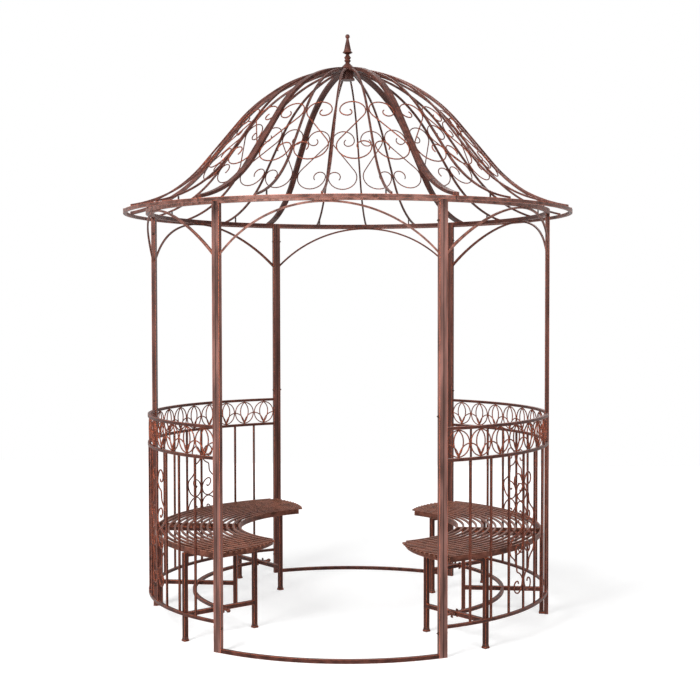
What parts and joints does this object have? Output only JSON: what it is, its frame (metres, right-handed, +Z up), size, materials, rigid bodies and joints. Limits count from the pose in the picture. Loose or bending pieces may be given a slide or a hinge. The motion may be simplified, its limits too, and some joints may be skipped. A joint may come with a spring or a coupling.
{
  "type": "garden gazebo",
  "caption": "Six-sided wrought iron garden gazebo with a bell-shaped open roof, railings in the closed bays and two curved slatted benches",
  "frame": {"origin": "on the floor plane z = 0, on the upright axis of the hub, the middle of the box's bottom", "axes": "+Z up, -Y towards the open front bay, +X to the right seen from the front"},
  "size_m": [2.24, 2.24, 2.9155],
  "materials": {
    "bronze_frame": "satin antique bronze with copper-red rub-through on the edges",
    "bronze_roof": "satin antique bronze with copper-red rub-through on the edges",
    "bronze_bench": "satin antique bronze with copper-red rub-through on the edges",
    "bronze_scrollwork": "satin antique bronze, redder on the thin rods",
    "dark_bolts": "dull dark bolt heads"
  },
  "bodies": {
    "root": {"post_front_right": "bronze_frame", "post_right": "bronze_frame", "post_back_right": "bronze_frame", "post_back_left": "bronze_frame", "post_left": "bronze_frame", "post_front_left": "bronze_frame", "head_front": "bronze_frame", "head_front_right": "bronze_frame", "head_back_right": "bronze_frame", "head_back": "bronze_frame", "head_back_left": "bronze_frame", "head_front_left": "bronze_frame", "ground_bar_front": "bronze_frame", "ground_bar_back": "bronze_frame", "railing_front_right": "bronze_frame", "railing_back_right": "bronze_frame", "railing_back_left": "bronze_frame", "railing_front_left": "bronze_frame", "eaves_ring": "bronze_roof", "roof_panel_front": "bronze_roof", "roof_panel_front_right": "bronze_roof", "roof_panel_back_right": "bronze_roof", "roof_panel_back": "bronze_roof", "roof_panel_back_left": "bronze_roof", "roof_panel_front_left": "bronze_roof", "roof_bolts": "dark_bolts", "hub": "bronze_roof", "finial": "bronze_roof", "right_bench_seat": "bronze_bench", "right_bench_legs": "bronze_bench", "right_bench_stretcher": "bronze_bench", "left_bench_seat": "bronze_bench", "left_bench_legs": "bronze_bench", "left_bench_stretcher": "bronze_bench", "band_rings": "bronze_scrollwork", "roof_scrolls": "bronze_scrollwork"}
  },
  "joints": []
}
